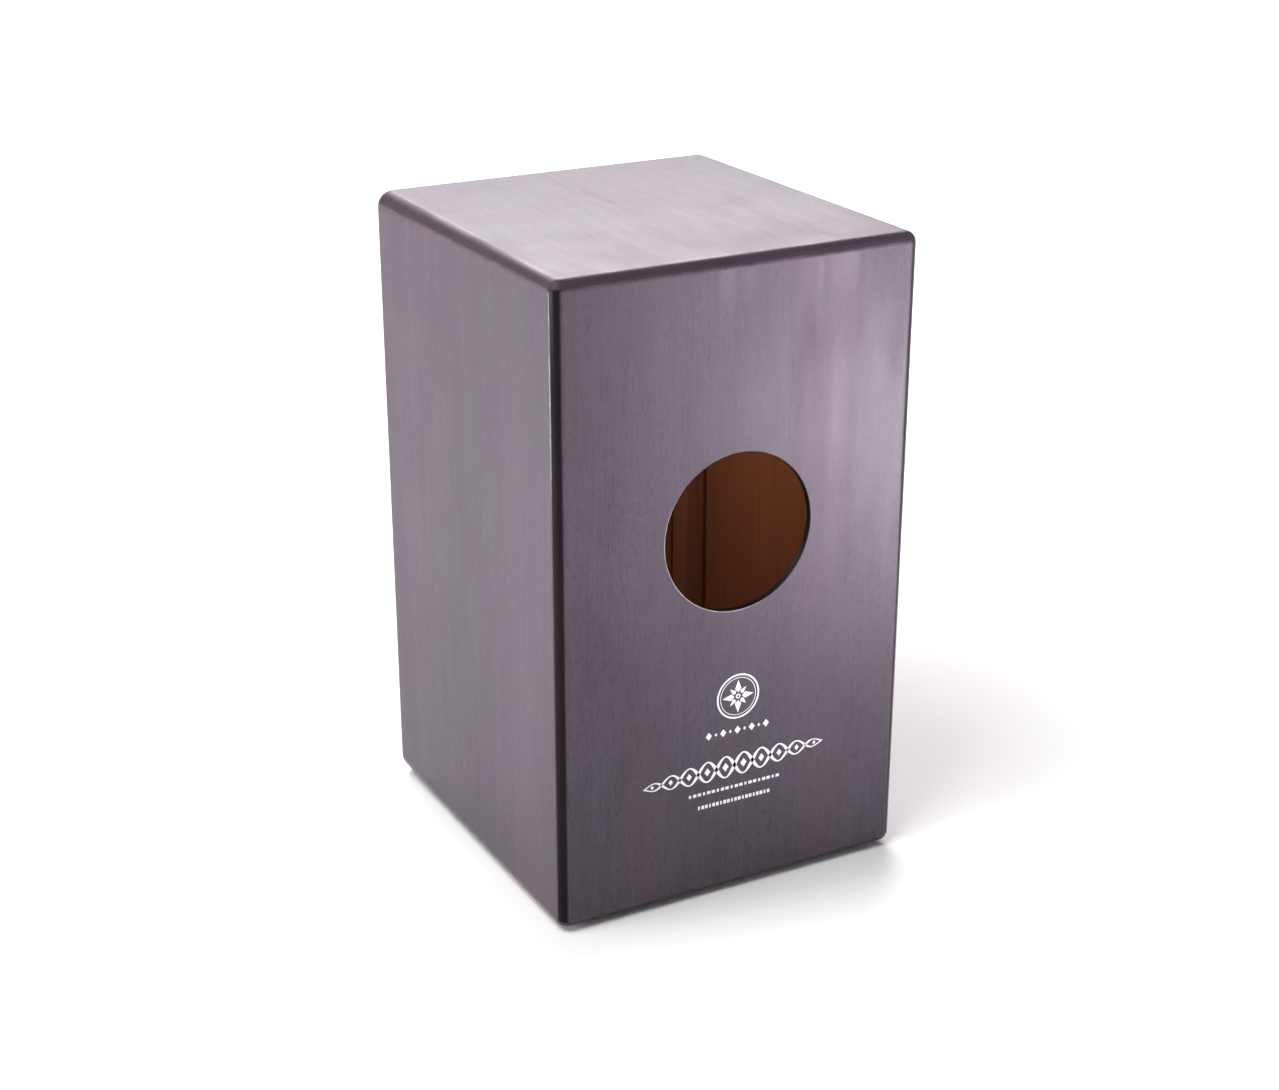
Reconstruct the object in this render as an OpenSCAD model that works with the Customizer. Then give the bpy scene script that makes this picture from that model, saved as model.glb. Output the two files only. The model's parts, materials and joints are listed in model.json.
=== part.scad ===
// Full-size cajon with string snares, tuned from below with a hex key.
// Frame: X to the right as seen from the tapa side, +Y out of the back, Z up, floor at z = 0.
// Left means -X and right means +X.

/* [Body] */
// Width of the body
body_w = 285; // [260:1:310]
// Depth of the body, tapa to back panel
body_d = 302; // [280:1:320]
// Height of the wooden body, without the feet
body_h = 480; // [460:1:500]
// Thickness of the side panels
side_t = 10; // [9:0.5:12]
// Thickness of the seat and base panels
cap_t = 12; // [12:0.5:15]
// Thickness of the back panel
back_t = 5; // [4:0.5:6]
// Thickness of the tapa
tapa_t = 3; // [3:0.25:4]
// Radius of the edges round the tapa
front_r = 13; // [10:0.5:15]
// Radius of the edges round the back panel
rear_r = 8.5; // [6:0.5:10]

/* [Sound hole] */
// Diameter of the sound hole
hole_d = 117.5; // [100:0.5:125]
// Height of the hole's centre above the bottom of the body
hole_h = 283; // [260:1:300]
// Radius of the softened outer rim
rim_r = 0.8; // [0.4:0.1:1.5]

/* [Inner frame] */
// Width of the front battens, across the tapa
batten_w = 18; // [16:1:20]
// Depth of the front battens, behind the tapa
batten_d = 24; // [22:1:26]
// Side of the square glue strips behind the back panel
strip_t = 10; // [8:1:12]

/* [Snare] */
// Distance of each tuner from the middle
tuner_x = 45; // [42:1:55]
// Half the distance between a pair's two strings at the tuner
pair_low = 9; // [9:0.5:10]
// Half the distance between a pair's two strings at the anchor
pair_high = 18; // [12:1:20]
// Diameter of a string
string_d = 1.0; // [0.8:0.1:1.1]
// Side of the square bridge rails
bridge_t = 12; // [10:1:12]
// Height of the lower bridge's middle above the bottom of the body
low_bridge_h = 87; // [84:1:95]
// Height of the upper bridge's middle above the bottom of the body
high_bridge_h = 415; // [405:1:418]

/* [Tuners] */
// Thread diameter of the tuner screws
thread_d = 6; // [6:0.5:6.5]
// Head diameter of the tuner screws
head_d = 10; // [9.5:0.1:10]
// Hex key size, across the flats
key_af = 5; // [4:0.5:5]
// Height of a carrier's underside above the base panel
carrier_h = 25; // [20:1:28]

/* [Feet] */
// Diameter of a foot
foot_d = 26; // [22:1:30]
// Gap between the floor and the body
floor_gap = 3; // [3:0.5:5]
// Depth of a foot's pocket in the base panel
pocket_d = 4; // [3:0.5:5]
// Distance of a foot's centre from the edges of the body
foot_inset = 32; // [28:1:40]

/* [Tapa screws] */
// Screws along each side
side_screws = 6; // [4:1:8]
// Screws along the top and the bottom
row_screws = 5; // [3:2:5]

/* [Hidden] */

stain = "#6f6672";
ply = "#6b4630";
steel = "#b9bcc2";
zinc = "#c9c6b8";
brass = "#c8a24a";

// Planes of the body
y_front = -body_d / 2;
y_back = body_d / 2;
y_skin = y_front + tapa_t;
y_rear = y_back - back_t;
x_in = body_w / 2 - side_t;
z_low = floor_gap;
z_top = floor_gap + body_h;
z_floor = z_low + cap_t;
z_ceil = z_top - cap_t;
hole_z = z_low + hole_h;

// Clearances and small overlaps of cutting tools
slack = 0.3;
run_gap = 0.05;
cut = 1;

// String run: the plane just behind the tapa, and the bends at the two bridges
string_r = string_d / 2;
y_run = y_skin + slack + string_r;
y_bridge = y_run + string_r + slack;
z_bend_low = z_low + low_bridge_h - bridge_t / 2 - 2;
z_bend_high = z_low + high_bridge_h + bridge_t / 2 + 2;

// Anchor plate under the top batten
plate_t = 2;
anchor_w = 172;
anchor_z = z_ceil - batten_w - 11;
anchor_y = y_skin + 8;
slot_w = string_d + 2 * slack;
anchor_screw_x = [-70, -23, 23, 70];

// Ball ends are small brass barrels that lie across the strings
ball_d = 4.4;
ball_l = 4;

// Tuner: bracket, screw and carrier share one upright axis
tuner_y = y_skin + batten_d + 20;
bracket_t = 3;
bracket_w = 34;
bracket_h = 50;
bracket_wall_y = tuner_y + 13;
bracket_front_y = tuner_y - 18;
bracket_top_y = tuner_y - 12;
bracket_screw_x = 11.5;
bracket_screw_y = tuner_y - 13;
head_h = 6;
socket_h = 3;
thread_r = thread_d / 2;
run_r = thread_r + run_gap;
groove_r = thread_r - 0.4;
ring_t = 1;
ring_r = 5.5;
ring_z = z_floor + bracket_t + 0.1;
screw_top = z_floor + bracket_h + 4;
carrier_w = 26;
carrier_t = 12;
carrier_z = z_floor + carrier_h;
carrier_front_y = tuner_y - 13;
slot_end_y = tuner_y - 5;
ball_y = tuner_y - 6.5;
ball_z = carrier_z - ball_d / 2 - run_gap;

// Key bushes in the base panel
bush_r = 7;
bush_flange_r = 10;
bush_flange_t = 1.5;
bush_bore_r = head_d / 2 + 0.5;

// Wood screws: diameter, head and length
wood_d = 3.5;
csk_d = 7;
pan_d = 7;
pan_h = 2;
tapa_screw_l = 16;
anchor_screw_l = 14;
bracket_screw_l = 13;
foot_screw_l = 10;
side_pitch = (body_h - 110) / (side_screws - 1);
row_pitch = 184 / (row_screws - 1);
screw_x = x_in - batten_w / 2;

// Feet
foot_x = body_w / 2 - foot_inset;
foot_y = body_d / 2 - foot_inset;
foot_h = floor_gap + pocket_d;
washer_r = 5.25;
washer_t = 1;
washer_z = 2.4;

edge_fn = 56;
round_fn = 64;
small_fn = 32;

function side_z() = [for (i = [0 : side_screws - 1]) z_low + 55 + i * side_pitch];
function row_x() = [for (i = [0 : row_screws - 1]) -92 + i * row_pitch];
function ends(s, half) = [for (k = [-1, 1]) s * tuner_x + k * half];

// ---- shared shapes ----

// Block between two corners
module block(a, b) {
    translate(a) cube(b - a);
}

// Ball with vertices on its six extremes, so that flat faces meet it exactly
module ball(r) {
    rotate_extrude($fn = edge_fn)
        intersection() {
            circle(r, $fn = edge_fn);
            translate([0, -r]) square([r, 2 * r]);
        }
}

// Outer shape of the wooden body: large radii round the tapa, smaller ones round the back
module envelope() {
    hull()
        for (sx = [-1, 1], top = [0, 1]) {
            translate([sx * (body_w / 2 - front_r), y_front + front_r,
                       top ? z_top - front_r : z_low + front_r]) ball(front_r);
            translate([sx * (body_w / 2 - rear_r), y_back - rear_r,
                       top ? z_top - rear_r : z_low + rear_r]) ball(rear_r);
        }
}

// Wood screw that points along +Z, with its seat on z = 0; the head is countersunk or domed
module wood_screw(l, sunk) {
    tip = 3;
    head_t = (csk_d - wood_d) / 2;
    profile = sunk
        ? [[0, 0], [csk_d / 2, 0], [wood_d / 2, head_t], [wood_d / 2, l - tip], [0, l]]
        : [[0, -pan_h], [pan_d / 2 - 1, -pan_h], [pan_d / 2, -pan_h + 1], [pan_d / 2, 0],
           [wood_d / 2, 0], [wood_d / 2, l - tip], [0, l]];
    recess_z = sunk ? 0 : -pan_h;
    difference() {
        rotate_extrude($fn = small_fn) polygon(profile);
        for (a = [0, 90])
            rotate(a) translate([-2, -0.45, recess_z - cut]) cube([4, 0.9, cut + 1.2]);
    }
}

// Hole for a wood screw, from z = 0 along +Z
module pilot(l) {
    cylinder(d = wood_d, h = l, $fn = small_fn);
}

// Turns a shape that points along +Z to point along +Y
module to_back() {
    rotate([-90, 0, 0]) children();
}

// Places of the tapa screws, each pointing into the box
module at_side_screws(s) {
    for (z = side_z()) translate([s * screw_x, y_front, z]) to_back() children();
}

module at_row_screws(z) {
    for (x = row_x()) translate([x, y_front, z]) to_back() children();
}

module at_top_screws() {
    at_row_screws(z_ceil - batten_w / 2) children();
}

module at_bottom_screws() {
    at_row_screws(z_floor + batten_w / 2) children();
}

module at_feet() {
    for (sx = [-1, 1], sy = [-1, 1]) translate([sx * foot_x, sy * foot_y, 0]) children();
}

module at_bracket_screws(s) {
    for (k = [-1, 1])
        translate([s * tuner_x + k * bracket_screw_x, bracket_screw_y, z_floor + bracket_t])
            rotate([180, 0, 0]) children();
}

module at_anchor_screws() {
    for (x = anchor_screw_x)
        translate([x, y_skin + batten_d + plate_t, z_ceil - batten_w / 2 - 1])
            rotate([90, 0, 0]) children();
}

// Round bar between two points
module bar(a, b, r) {
    d = b - a;
    l = norm(d);
    translate(a) rotate([0, acos(d[2] / l), atan2(d[1], d[0])])
        cylinder(r = r, h = l, $fn = small_fn);
}

// ---- panels ----

module side_panel(s) {
    color(stain) intersection() {
        envelope();
        block([s > 0 ? x_in : -body_w / 2, y_skin, z_low], [s > 0 ? body_w / 2 : -x_in, y_rear, z_top]);
    }
}

module side_panel_left() {
    side_panel(-1);
}

module side_panel_right() {
    side_panel(1);
}

module seat_panel() {
    color(stain) intersection() {
        envelope();
        block([-x_in, y_skin, z_ceil], [x_in, y_rear, z_top]);
    }
}

module base_panel() {
    color(stain) difference() {
        intersection() {
            envelope();
            block([-x_in, y_skin, z_low], [x_in, y_rear, z_floor]);
        }
        for (s = [-1, 1]) {
            translate([s * tuner_x, tuner_y, z_low - cut]) {
                cylinder(r = bush_r, h = cap_t + 2 * cut, $fn = round_fn);
                cylinder(r = bush_flange_r, h = bush_flange_t + cut, $fn = round_fn);
            }
            at_bracket_screws(s) pilot(bracket_screw_l);
        }
        at_feet() {
            translate([0, 0, z_low - cut]) cylinder(d = foot_d + 0.6, h = pocket_d + cut, $fn = round_fn);
            translate([0, 0, foot_h]) pilot(cap_t - pocket_d - 2);
        }
    }
}

module back_panel() {
    color(stain) difference() {
        intersection() {
            envelope();
            block([-body_w / 2, y_rear, z_low], [body_w / 2, y_back, z_top]);
        }
        translate([0, y_rear - cut, hole_z]) to_back()
            cylinder(d = hole_d, h = back_t + 2 * cut, $fn = 128);
        translate([0, y_back, hole_z]) to_back() rotate_extrude($fn = 128)
            translate([hole_d / 2, 0]) difference() {
                translate([-rim_r, -rim_r]) square([2 * rim_r, rim_r + cut]);
                translate([rim_r, -rim_r]) circle(rim_r, $fn = small_fn);
            }
    }
}

module tapa() {
    color(stain) difference() {
        intersection() {
            envelope();
            block([-body_w / 2, y_front, z_low], [body_w / 2, y_skin, z_top]);
        }
        for (s = [-1, 1]) at_side_screws(s) screw_seat();
        at_top_screws() screw_seat();
        at_bottom_screws() screw_seat();
    }
}

// Countersunk hole through the tapa
module screw_seat() {
    head_t = (csk_d - wood_d) / 2;
    rotate_extrude($fn = small_fn)
        polygon([[0, -cut], [csk_d / 2, -cut], [csk_d / 2, 0], [wood_d / 2, head_t],
                 [wood_d / 2, tapa_t + cut], [0, tapa_t + cut]]);
}

// ---- inner frame ----

module batten_side(s) {
    color(ply) difference() {
        block([s > 0 ? x_in - batten_w : -x_in, y_skin, z_floor],
              [s > 0 ? x_in : -x_in + batten_w, y_skin + batten_d, z_ceil]);
        at_side_screws(s) pilot(tapa_screw_l);
    }
}

module batten_left() {
    batten_side(-1);
}

module batten_right() {
    batten_side(1);
}

module batten_top() {
    color(ply) difference() {
        block([-x_in + batten_w, y_skin, z_ceil - batten_w],
              [x_in - batten_w, y_skin + batten_d, z_ceil]);
        at_top_screws() pilot(tapa_screw_l);
        at_anchor_screws() pilot(anchor_screw_l);
    }
}

module batten_bottom() {
    color(ply) difference() {
        block([-x_in + batten_w, y_skin, z_floor],
              [x_in - batten_w, y_skin + batten_d, z_floor + batten_w]);
        at_bottom_screws() pilot(tapa_screw_l);
    }
}

module rear_strip_side(s) {
    color(ply) block([s > 0 ? x_in - strip_t : -x_in, y_rear - strip_t, z_floor],
                     [s > 0 ? x_in : -x_in + strip_t, y_rear, z_ceil]);
}

module rear_strip_left() {
    rear_strip_side(-1);
}

module rear_strip_right() {
    rear_strip_side(1);
}

module rear_strip_row(z) {
    color(ply) block([-x_in + strip_t, y_rear - strip_t, z], [x_in - strip_t, y_rear, z + strip_t]);
}

module rear_strip_top() {
    rear_strip_row(z_ceil - strip_t);
}

module rear_strip_bottom() {
    rear_strip_row(z_floor);
}

// ---- snare ----

// Rail between the side battens, with its front edges rounded for the strings
module bridge(h) {
    r = 2;
    half = bridge_t / 2;
    color(ply) translate([-x_in + batten_w, y_bridge + half, z_low + h])
        rotate([90, 0, 90]) linear_extrude(2 * (x_in - batten_w)) union() {
            translate([-half + r, -half]) square([bridge_t - r, bridge_t]);
            translate([-half, -half + r]) square([r, bridge_t - 2 * r]);
            for (k = [-1, 1]) translate([-half + r, k * (half - r)]) circle(r, $fn = small_fn);
        }
}

module upper_bridge() {
    bridge(high_bridge_h);
}

module lower_bridge() {
    bridge(low_bridge_h);
}

// Steel angle on the back of the top batten; its lower leg holds the strings' ball ends
module anchor_plate() {
    y_leg = y_skin + batten_d;
    color(zinc) difference() {
        union() {
            block([-anchor_w / 2, y_leg, anchor_z], [anchor_w / 2, y_leg + plate_t, z_ceil - 2]);
            block([-anchor_w / 2, anchor_y - 4.5, anchor_z],
                  [anchor_w / 2, y_leg + plate_t, anchor_z + plate_t]);
        }
        for (s = [-1, 1], x = ends(s, pair_high))
            block([x - slot_w / 2, anchor_y - 4.5 - cut, anchor_z - cut],
                  [x + slot_w / 2, anchor_y + 1.2, anchor_z + plate_t + cut]);
        at_anchor_screws() translate([0, 0, -cut]) cylinder(d = 4, h = plate_t + 2 * cut, $fn = small_fn);
    }
}

module anchor_screws() {
    color(steel) at_anchor_screws() wood_screw(anchor_screw_l, false);
}

// Brass barrel across a string, with a waist for it
module barrel(p) {
    color(brass) translate(p) rotate([0, 90, 0]) rotate_extrude($fn = small_fn)
        polygon([[0, -ball_l / 2], [ball_d / 2, -ball_l / 2], [ball_d / 2, -1], [ball_d / 2 - 0.5, -0.6],
                 [ball_d / 2 - 0.5, 0.6], [ball_d / 2, 1], [ball_d / 2, ball_l / 2], [0, ball_l / 2]]);
}

function top_ball(x) = [x, anchor_y, anchor_z + plate_t + ball_d / 2 + run_gap];
function low_ball(x) = [x, ball_y, ball_z];

module top_ball_ends() {
    for (s = [-1, 1], x = ends(s, pair_high)) barrel(top_ball(x));
}

module ball_ends(s) {
    for (x = ends(s, pair_low)) barrel(low_ball(x));
}

module ball_ends_left() {
    ball_ends(-1);
}

module ball_ends_right() {
    ball_ends(1);
}

// One string: anchor, upper bridge, down the tapa, lower bridge, carrier
module snare_string(x_high, x_low) {
    bend_high = [x_high, y_run, z_bend_high];
    bend_low = [x_low, y_run, z_bend_low];
    a = top_ball(x_high);
    b = low_ball(x_low);
    waist = ball_d / 2 - 0.5 + run_gap;
    high_end = a + waist * (bend_high - a) / norm(bend_high - a);
    low_end = b + waist * (bend_low - b) / norm(bend_low - b);
    bar(high_end, bend_high, string_r);
    bar(bend_high, bend_low, string_r);
    bar(bend_low, low_end, string_r);
    for (p = [bend_high, bend_low]) translate(p) sphere(r = string_r + 0.1, $fn = small_fn);
}

module snare_strings(s) {
    color(steel) for (k = [0, 1]) snare_string(ends(s, pair_high)[k], ends(s, pair_low)[k]);
}

module snare_strings_left() {
    snare_strings(-1);
}

module snare_strings_right() {
    snare_strings(1);
}

// ---- tuners ----

// Block with a threaded bore; the two slots hold the strings' ball ends underneath
module carrier(s) {
    color(steel) difference() {
        block([s * tuner_x - carrier_w / 2, carrier_front_y, carrier_z],
              [s * tuner_x + carrier_w / 2, bracket_wall_y - slack, carrier_z + carrier_t]);
        translate([s * tuner_x, tuner_y, carrier_z - cut])
            cylinder(r = run_r, h = carrier_t + 2 * cut, $fn = round_fn);
        for (x = ends(s, pair_low))
            block([x - slot_w / 2, carrier_front_y - cut, carrier_z - cut],
                  [x + slot_w / 2, slot_end_y, carrier_z + carrier_t + cut]);
    }
}

module carrier_left() {
    carrier(-1);
}

module carrier_right() {
    carrier(1);
}

// Socket-head screw, head down, with a groove for its retaining ring
module tuner_screw(s) {
    color(zinc) translate([s * tuner_x, tuner_y, 0]) difference() {
        union() {
            translate([0, 0, z_floor - head_h]) cylinder(d = head_d, h = head_h - run_gap, $fn = round_fn);
            translate([0, 0, z_floor - 1]) cylinder(r = thread_r, h = screw_top - z_floor, $fn = round_fn);
            translate([0, 0, screw_top - 1])
                cylinder(r1 = thread_r, r2 = thread_r - 1, h = 1, $fn = round_fn);
        }
        translate([0, 0, ring_z]) difference() {
            cylinder(r = thread_r + cut, h = ring_t, $fn = round_fn);
            translate([0, 0, -cut]) cylinder(r = groove_r, h = ring_t + 2 * cut, $fn = round_fn);
        }
        translate([0, 0, z_floor - head_h - cut])
            cylinder(d = key_af / cos(30), h = socket_h + cut, $fn = 6);
    }
}

module tuner_screw_left() {
    tuner_screw(-1);
}

module tuner_screw_right() {
    tuner_screw(1);
}

// Open ring that snaps into the screw's groove, above the bracket's lower flange
module retaining_ring(s) {
    color(steel) translate([s * tuner_x, tuner_y, ring_z]) difference() {
        cylinder(r = ring_r, h = ring_t, $fn = round_fn);
        translate([0, 0, -cut]) cylinder(r = groove_r, h = ring_t + 2 * cut, $fn = round_fn);
        translate([-1.5, -ring_r - cut, -cut]) cube([3, ring_r + cut, ring_t + 2 * cut]);
    }
}

module retaining_ring_left() {
    retaining_ring(-1);
}

module retaining_ring_right() {
    retaining_ring(1);
}

// Bent steel frame: lower flange on the base panel, back wall, upper flange
module tuner_bracket(s) {
    x0 = s * tuner_x - bracket_w / 2;
    x1 = s * tuner_x + bracket_w / 2;
    wall_back = bracket_wall_y + bracket_t;
    z1 = z_floor + bracket_h;
    color(zinc) difference() {
        union() {
            block([x0, bracket_front_y, z_floor], [x1, wall_back, z_floor + bracket_t]);
            block([x0, bracket_wall_y, z_floor], [x1, wall_back, z1]);
            block([x0, bracket_top_y, z1 - bracket_t], [x1, wall_back, z1]);
        }
        translate([s * tuner_x, tuner_y, z_floor - cut])
            cylinder(r = run_r, h = bracket_h + 2 * cut, $fn = round_fn);
        at_bracket_screws(s) translate([0, 0, -cut]) cylinder(d = 4, h = bracket_t + 2 * cut, $fn = small_fn);
    }
}

module tuner_bracket_left() {
    tuner_bracket(-1);
}

module tuner_bracket_right() {
    tuner_bracket(1);
}

module bracket_screws() {
    color(steel) for (s = [-1, 1]) at_bracket_screws(s) wood_screw(bracket_screw_l, false);
}

// Flanged bush that lines the key hole, flush with the underside of the base panel
module key_bush(s) {
    color(brass) translate([s * tuner_x, tuner_y, z_low]) rotate_extrude($fn = round_fn)
        polygon([[bush_bore_r, 0], [bush_flange_r, 0], [bush_flange_r, bush_flange_t],
                 [bush_r, bush_flange_t], [bush_r, cap_t], [bush_bore_r, cap_t]]);
}

module key_bush_left() {
    key_bush(-1);
}

module key_bush_right() {
    key_bush(1);
}

// ---- feet ----

// Rubber foot with a bevelled sole and a stepped hole for its washer and screw
module foot(sx, sy) {
    bevel = 1.2;
    color("#1d1c1e") translate([sx * foot_x, sy * foot_y, 0]) rotate_extrude($fn = round_fn)
        polygon([[washer_r + 0.25, 0], [foot_d / 2 - bevel, 0], [foot_d / 2, bevel], [foot_d / 2, foot_h],
                 [2.25, foot_h], [2.25, washer_z + washer_t], [washer_r + 0.25, washer_z + washer_t]]);
}

module foot_front_left() {
    foot(-1, -1);
}

module foot_front_right() {
    foot(1, -1);
}

module foot_back_left() {
    foot(-1, 1);
}

module foot_back_right() {
    foot(1, 1);
}

module foot_washers() {
    color(steel) at_feet() translate([0, 0, washer_z]) difference() {
        cylinder(r = washer_r, h = washer_t, $fn = round_fn);
        translate([0, 0, -cut]) cylinder(d = 4, h = washer_t + 2 * cut, $fn = small_fn);
    }
}

module foot_screws() {
    color(steel) at_feet() translate([0, 0, washer_z]) wood_screw(foot_screw_l, false);
}

// ---- tapa screws ----

module tapa_screws_top() {
    color(zinc) at_top_screws() wood_screw(tapa_screw_l, true);
}

module tapa_screws_left() {
    color(zinc) at_side_screws(-1) wood_screw(tapa_screw_l, true);
}

module tapa_screws_right() {
    color(zinc) at_side_screws(1) wood_screw(tapa_screw_l, true);
}

module tapa_screws_bottom() {
    color(zinc) at_bottom_screws() wood_screw(tapa_screw_l, true);
}

side_panel_left();
side_panel_right();
seat_panel();
base_panel();
back_panel();
tapa();
batten_left();
batten_right();
batten_top();
batten_bottom();
rear_strip_left();
rear_strip_right();
rear_strip_top();
rear_strip_bottom();
upper_bridge();
lower_bridge();
anchor_plate();
anchor_screws();
top_ball_ends();
snare_strings_left();
snare_strings_right();
ball_ends_left();
ball_ends_right();
carrier_left();
carrier_right();
tuner_screw_left();
tuner_screw_right();
retaining_ring_left();
retaining_ring_right();
tuner_bracket_left();
tuner_bracket_right();
bracket_screws();
key_bush_left();
key_bush_right();
foot_front_left();
foot_front_right();
foot_back_left();
foot_back_right();
foot_washers();
foot_screws();
tapa_screws_top();
tapa_screws_left();
tapa_screws_right();
tapa_screws_bottom();
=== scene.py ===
import json
import math

import bmesh
import bpy
import numpy as np
from mathutils import Matrix, Vector


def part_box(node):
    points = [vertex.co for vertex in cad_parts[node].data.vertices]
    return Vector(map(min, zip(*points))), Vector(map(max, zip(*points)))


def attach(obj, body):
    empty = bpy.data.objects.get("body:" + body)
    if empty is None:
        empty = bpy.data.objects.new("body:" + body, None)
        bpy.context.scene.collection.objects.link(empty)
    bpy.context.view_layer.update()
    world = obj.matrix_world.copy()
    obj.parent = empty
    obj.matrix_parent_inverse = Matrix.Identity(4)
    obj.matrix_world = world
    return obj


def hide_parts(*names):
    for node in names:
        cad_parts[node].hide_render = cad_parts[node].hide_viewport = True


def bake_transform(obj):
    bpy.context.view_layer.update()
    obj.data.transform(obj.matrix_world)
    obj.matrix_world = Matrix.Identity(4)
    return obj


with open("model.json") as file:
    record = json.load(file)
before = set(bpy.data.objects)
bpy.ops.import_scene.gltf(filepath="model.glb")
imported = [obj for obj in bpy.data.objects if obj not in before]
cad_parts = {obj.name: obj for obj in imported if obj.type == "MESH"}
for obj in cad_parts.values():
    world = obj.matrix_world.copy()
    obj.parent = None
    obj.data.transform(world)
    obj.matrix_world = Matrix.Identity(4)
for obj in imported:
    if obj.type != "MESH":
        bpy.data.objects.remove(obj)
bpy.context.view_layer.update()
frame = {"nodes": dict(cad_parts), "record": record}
NODES = frame["nodes"]
MM = 0.001

# ---- driving sizes, taken from the frame ----

BODY_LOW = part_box("side_panel_left")[0].z
BODY_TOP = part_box("side_panel_left")[1].z
HALF_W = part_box("side_panel_right")[1].x
Y_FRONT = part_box("tapa")[0].y
Y_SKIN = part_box("tapa")[1].y
Y_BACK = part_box("back_panel")[1].y
Y_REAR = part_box("back_panel")[0].y
X_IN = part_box("side_panel_right")[0].x
Z_IN_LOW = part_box("base_panel")[1].z
Z_IN_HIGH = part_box("seat_panel")[0].z
FRONT_R = 13 * MM
REAR_R = 8.5 * MM
HOLE_AT = Vector(next(m["pos_m"] for m in frame["record"]["mounts"] if m["name"] == "sound_hole"))
HOLE_R = next(m["dims"]["r_mm"] for m in frame["record"]["mounts"] if m["name"] == "sound_hole") * MM


# ---- node helpers ----

class Shader:
    """A node material built with short calls; every method returns an output socket."""

    def __init__(self, name):
        self.material = bpy.data.materials.new(name)
        self.material.use_nodes = True
        self.tree = self.material.node_tree
        self.tree.nodes.clear()
        self.coords = self.add("ShaderNodeTexCoord").outputs["Object"]

    def add(self, kind, **settings):
        node = self.tree.nodes.new(kind)
        for key, value in settings.items():
            setattr(node, key, value)
        return node

    def set(self, socket, value):
        if isinstance(value, bpy.types.NodeSocket):
            self.tree.links.new(value, socket)
        else:
            socket.default_value = value

    def math(self, operation, a, b=0.0):
        node = self.add("ShaderNodeMath", operation=operation)
        for socket, value in zip(node.inputs, (a, b)):
            self.set(socket, value)
        return node.outputs[0]

    def scaled(self, scale, shift=(0, 0, 0)):
        node = self.add("ShaderNodeMapping")
        self.set(node.inputs["Vector"], self.coords)
        node.inputs["Scale"].default_value = scale
        node.inputs["Location"].default_value = shift
        return node.outputs[0]

    def noise(self, vector, detail=2.0, rough=0.5, warp=0.0):
        """Noise at the scale of its coordinates."""
        node = self.add("ShaderNodeTexNoise")
        self.set(node.inputs["Vector"], vector)
        node.inputs["Scale"].default_value = 1.0
        node.inputs["Detail"].default_value = detail
        node.inputs["Roughness"].default_value = rough
        node.inputs["Distortion"].default_value = warp
        return node.outputs["Fac"]

    def remap(self, value, lo, hi, new_lo=0.0, new_hi=1.0, smooth=False):
        node = self.add("ShaderNodeMapRange", interpolation_type="SMOOTHSTEP" if smooth else "LINEAR")
        for key, number in (("Value", value), ("From Min", lo), ("From Max", hi),
                            ("To Min", new_lo), ("To Max", new_hi)):
            self.set(node.inputs[key], number)
        return node.outputs[0]

    def mix(self, factor, a, b):
        node = self.add("ShaderNodeMix", data_type="RGBA")
        self.set(node.inputs[0], factor)
        self.set(node.inputs[6], a)
        self.set(node.inputs[7], b)
        return node.outputs[2]

    def product(self, first, *others):
        """All the values multiplied together."""
        for other in others:
            first = self.math("MULTIPLY", first, other)
        return first

    def vector(self, x, y, z):
        node = self.add("ShaderNodeCombineXYZ")
        for socket, value in zip(node.inputs, (x, y, z)):
            self.set(socket, value)
        return node.outputs[0]

    def part(self, vector, axis):
        node = self.add("ShaderNodeSeparateXYZ")
        self.set(node.inputs[0], vector)
        return node.outputs[axis]

    def bump(self, height, strength, distance, normal=None):
        node = self.add("ShaderNodeBump")
        self.set(node.inputs["Height"], height)
        node.inputs["Strength"].default_value = strength
        node.inputs["Distance"].default_value = distance
        if normal is not None:
            self.set(node.inputs["Normal"], normal)
        return node.outputs[0]

    def finish(self, **inputs):
        bsdf = self.add("ShaderNodeBsdfPrincipled")
        for key, value in inputs.items():
            self.set(bsdf.inputs[key.replace("_", " ")], value)
        out = self.add("ShaderNodeOutputMaterial")
        self.tree.links.new(bsdf.outputs[0], out.inputs[0])
        return self.material


def srgb(r, g, b):
    """An sRGB colour in 0-255 as linear RGBA."""
    def linear(c):
        c /= 255
        return c / 12.92 if c <= 0.04045 else ((c + 0.055) / 1.055) ** 2.4
    return (linear(r), linear(g), linear(b), 1.0)


# ---- colours ----

STAIN_DARK = srgb(31, 24, 32)
STAIN_LIGHT = srgb(86, 75, 89)
STAIN_COOL = srgb(62, 60, 63)
STAIN_WARM = srgb(76, 60, 71)
PORE = srgb(28, 20, 26)
SCUFF = srgb(120, 108, 120)
# Edge colours: stain gathered on the rounded edges plus painted shade, near black on the upright edges as a
# painted dark reflection
POOLED_STAIN_AND_SHADE_LEVEL = srgb(46, 35, 40)
POOLED_STAIN_AND_DARK_REFLECTION_UPRIGHT = srgb(11, 7, 10)
# Lighter reddish line colour for the edge shoulders: partly wood worn through, partly a painted highlight
WORN_LINE_AND_HIGHLIGHT = srgb(106, 80, 81)
SEAM_DARK = srgb(22, 16, 20)
HOLE_WALL = srgb(20, 12, 13)
# Pale arc on one side of the sound hole's rim, a painted highlight
HOLE_RIM_HIGHLIGHT = srgb(178, 168, 174)
INNER_DARK = srgb(104, 59, 36)
INNER_LIGHT = srgb(126, 73, 46)
RUBBER_BLACK = srgb(26, 26, 28)
RUBBER_DUST = srgb(74, 72, 70)
INK_SILVER = srgb(222, 221, 226)
INK_WORN = srgb(120, 110, 120)
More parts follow.
